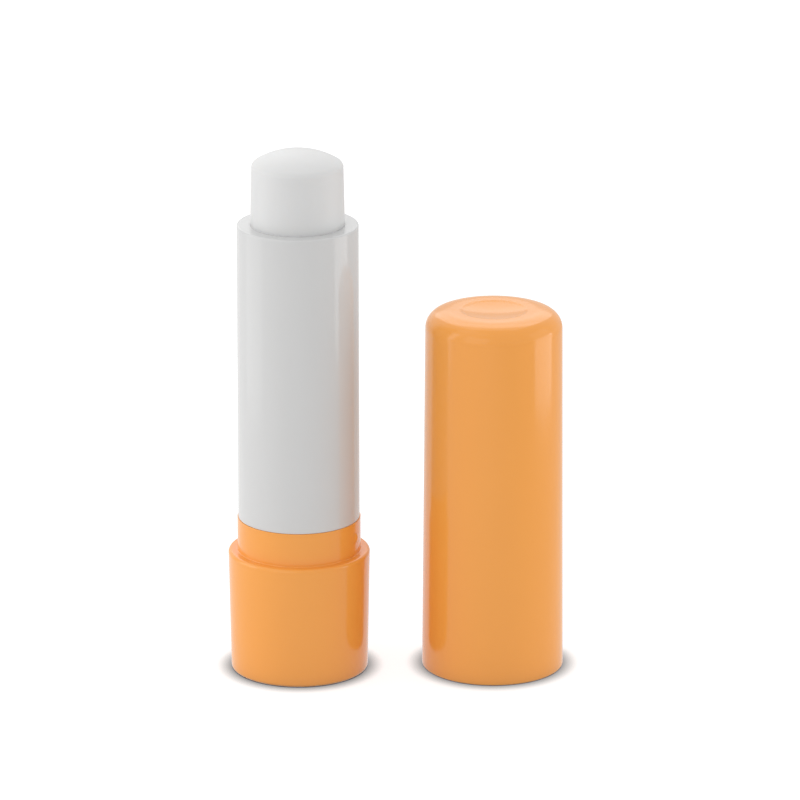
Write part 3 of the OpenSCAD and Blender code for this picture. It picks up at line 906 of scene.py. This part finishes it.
class BALM_OT_stage(bpy.types.Operator):
    """Make the white floor, the soft lamps, the pale room and the camera"""
    bl_idname = "balm.stage"
    bl_label = "Stage"

    def execute(self, context):
        studio = context.scene.balm_studio
        self.floor(studio)
        self.room(studio)
        self.lamps(studio)
        self.camera(studio)
        context.scene.view_settings.view_transform = "Standard"
        return {"FINISHED"}

    def floor(self, studio):
        """A white floor that keeps the object's shadow, with a painted contact shadow round each foot and
        painted shade, seen in reflections, towards the right.
        """
        half = studio.floor_size / 2
        mesh = bpy.data.meshes.new("floor")
        mesh.from_pydata([(-half, -half, FLOOR_LEVEL), (half, -half, FLOOR_LEVEL),
                          (half, half, FLOOR_LEVEL), (-half, half, FLOOR_LEVEL)], [], [(0, 1, 2, 3)])
        floor = bpy.data.objects.new("floor", mesh)
        bpy.context.scene.collection.objects.link(floor)
        material, tree, shader = new_material("white_floor")
        material.cycles.emission_sampling = "NONE"
        shader.inputs["Roughness"].default_value = 1
        shader.inputs["Specular IOR Level"].default_value = 0
        lit = Link(tree, shader.outputs[0])
        camera, mirrored = light_path(tree)
        # painted contact shadow: ambient occlusion darkens the floor's colour and glow in the narrow gap
        # between the floor and what stands on it
        clear = tree.add("ShaderNodeAmbientOcclusion", {"samples": 16}, {"Distance": studio.painted_shadow_reach},
                         output="AO").power(studio.painted_shadow_depth)
        tree.links.new(tree.mix(clear, BLACK, [FLOOR_WHITE] * 3).socket, shader.inputs["Base Color"])
        glow = self.light(tree, clear, studio.floor_glow)
        seen = mixed(tree, camera * studio.glow_share, lit, glow)
        # painted shade in reflections: they see a pale floor that darkens from the left to the right
        across = components(tree, tree.add("ShaderNodeTexCoord", output="Object"))[0]
        pale = studio.floor_seen - across * studio.floor_shade_fall
        pale = pale.most(studio.floor_shade_least).least(studio.floor_seen)
        out = next(n for n in tree.nodes if n.type == "OUTPUT_MATERIAL")
        tree.links.new(mixed(tree, mirrored, seen, self.light(tree, pale, 1)).socket, out.inputs["Surface"])
        mesh.materials.append(material)

    @staticmethod
    def light(tree, paleness, strength):
        """Emission of a grey: 0 is black, 1 is white."""
        return tree.add("ShaderNodeEmission", {}, {
            "Color": tree.mix(paleness, BLACK, WHITE), "Strength": strength})

    def room(self, studio):
        """A pale room that is white where it is seen."""
        world = bpy.data.worlds.new("pale_room")
        world.use_nodes = True
        nodes = world.node_tree.nodes
        nodes.clear()
        tree = Tree(nodes, world.node_tree.links)
        lit, seen, white = (
            tree.add("ShaderNodeBackground", {}, {"Color": (*WHITE, 1), "Strength": level})
            for level in (studio.room_light, studio.room_seen, 1.0))
        camera, mirrored = light_path(tree)
        tree.end("ShaderNodeOutputWorld", {
            "Surface": mixed(tree, camera, mixed(tree, mirrored, lit, seen), white)})
        bpy.context.scene.world = world

    def lamps(self, studio):
        """Soft lamps: wide ones round the object, and small ones close to its sides."""
        aim = Vector((studio.aim_x, 0, studio.aim_z))
        for around, above, power in WIDE_LAMPS:
            turn, rise = math.radians(around), math.radians(above)
            level = math.cos(rise)
            away = Vector((math.sin(turn) * level, -math.cos(turn) * level, math.sin(rise)))
            self.lamp(aim + away * studio.lamp_distance, aim, (studio.lamp_size, studio.lamp_size),
                      power * studio.lamp_level)
        for place, power in NEAR_LAMPS:
            self.lamp(Vector(place), Vector(NEAR_AIM), (studio.near_width, studio.near_height),
                      power * studio.lamp_level)

    @staticmethod
    def lamp(place, aim, size, power):
        """One oblong lamp that the camera doesn't see."""
        light = bpy.data.lights.new("lamp", "AREA")
        light.shape = "RECTANGLE"
        light.size, light.size_y = size
        light.energy = power
        lamp = bpy.data.objects.new("lamp", light)
        lamp.location = place
        lamp.rotation_euler = (aim - place).to_track_quat("-Z", "Y").to_euler()
        lamp.visible_camera = False
        bpy.context.scene.collection.objects.link(lamp)

    def camera(self, studio):
        """The photograph's view."""
        data = bpy.data.cameras.new("camera")
        data.sensor_width = 36
        data.lens = studio.camera_lens
        data.clip_start = 0.01
        camera = bpy.data.objects.new("camera", data)
        aim = Vector((studio.aim_x, 0, studio.aim_z))
        back = Vector((0, -math.cos(studio.camera_elevation), math.sin(studio.camera_elevation)))
        camera.location = aim + back * studio.camera_distance
        camera.rotation_euler = (-back).to_track_quat("-Z", "Y").to_euler()
        bpy.context.scene.collection.objects.link(camera)
        bpy.context.scene.camera = camera


PIECES = (BALM_OT_base, BALM_OT_barrel, BALM_OT_balm, BALM_OT_screw, BALM_OT_cap, BALM_OT_stage)
GROUPS = {"balm_base": BaseSizes, "balm_barrel": BarrelSizes, "balm_balm": BalmSizes,
          "balm_screw": ScrewSizes, "balm_cap": CapSizes, "balm_finishes": Finishes,
          "balm_studio": Studio}


class BALM_PT_panel(bpy.types.Panel):
    """Lists the operators and the sizes that they use"""
    bl_label = "Lip balm stick"
    bl_idname = "BALM_PT_panel"
    bl_space_type = "VIEW_3D"
    bl_region_type = "UI"
    bl_category = "Lip balm"

    def draw(self, context):
        for operator in PIECES:
            self.layout.operator(operator.bl_idname)
        for name, group in GROUPS.items():
            box = self.layout.box()
            for prop in group.__annotations__:
                box.prop(getattr(context.scene, name), prop)


def register():
    for group in GROUPS.values():
        bpy.utils.register_class(group)
    for name, group in GROUPS.items():
        setattr(bpy.types.Scene, name, PointerProperty(type=group))
    for cls in (*PIECES, BALM_PT_panel):
        bpy.utils.register_class(cls)


def unregister():
    for cls in reversed((*PIECES, BALM_PT_panel)):
        bpy.utils.unregister_class(cls)
    for name in GROUPS:
        delattr(bpy.types.Scene, name)
    for group in GROUPS.values():
        bpy.utils.unregister_class(group)


def main():
    register()
    bpy.ops.balm.base()
    bpy.ops.balm.barrel()
    bpy.ops.balm.balm()
    bpy.ops.balm.screw()
    bpy.ops.balm.cap()
    bpy.ops.balm.stage()


if __name__ == "__main__":
    main()
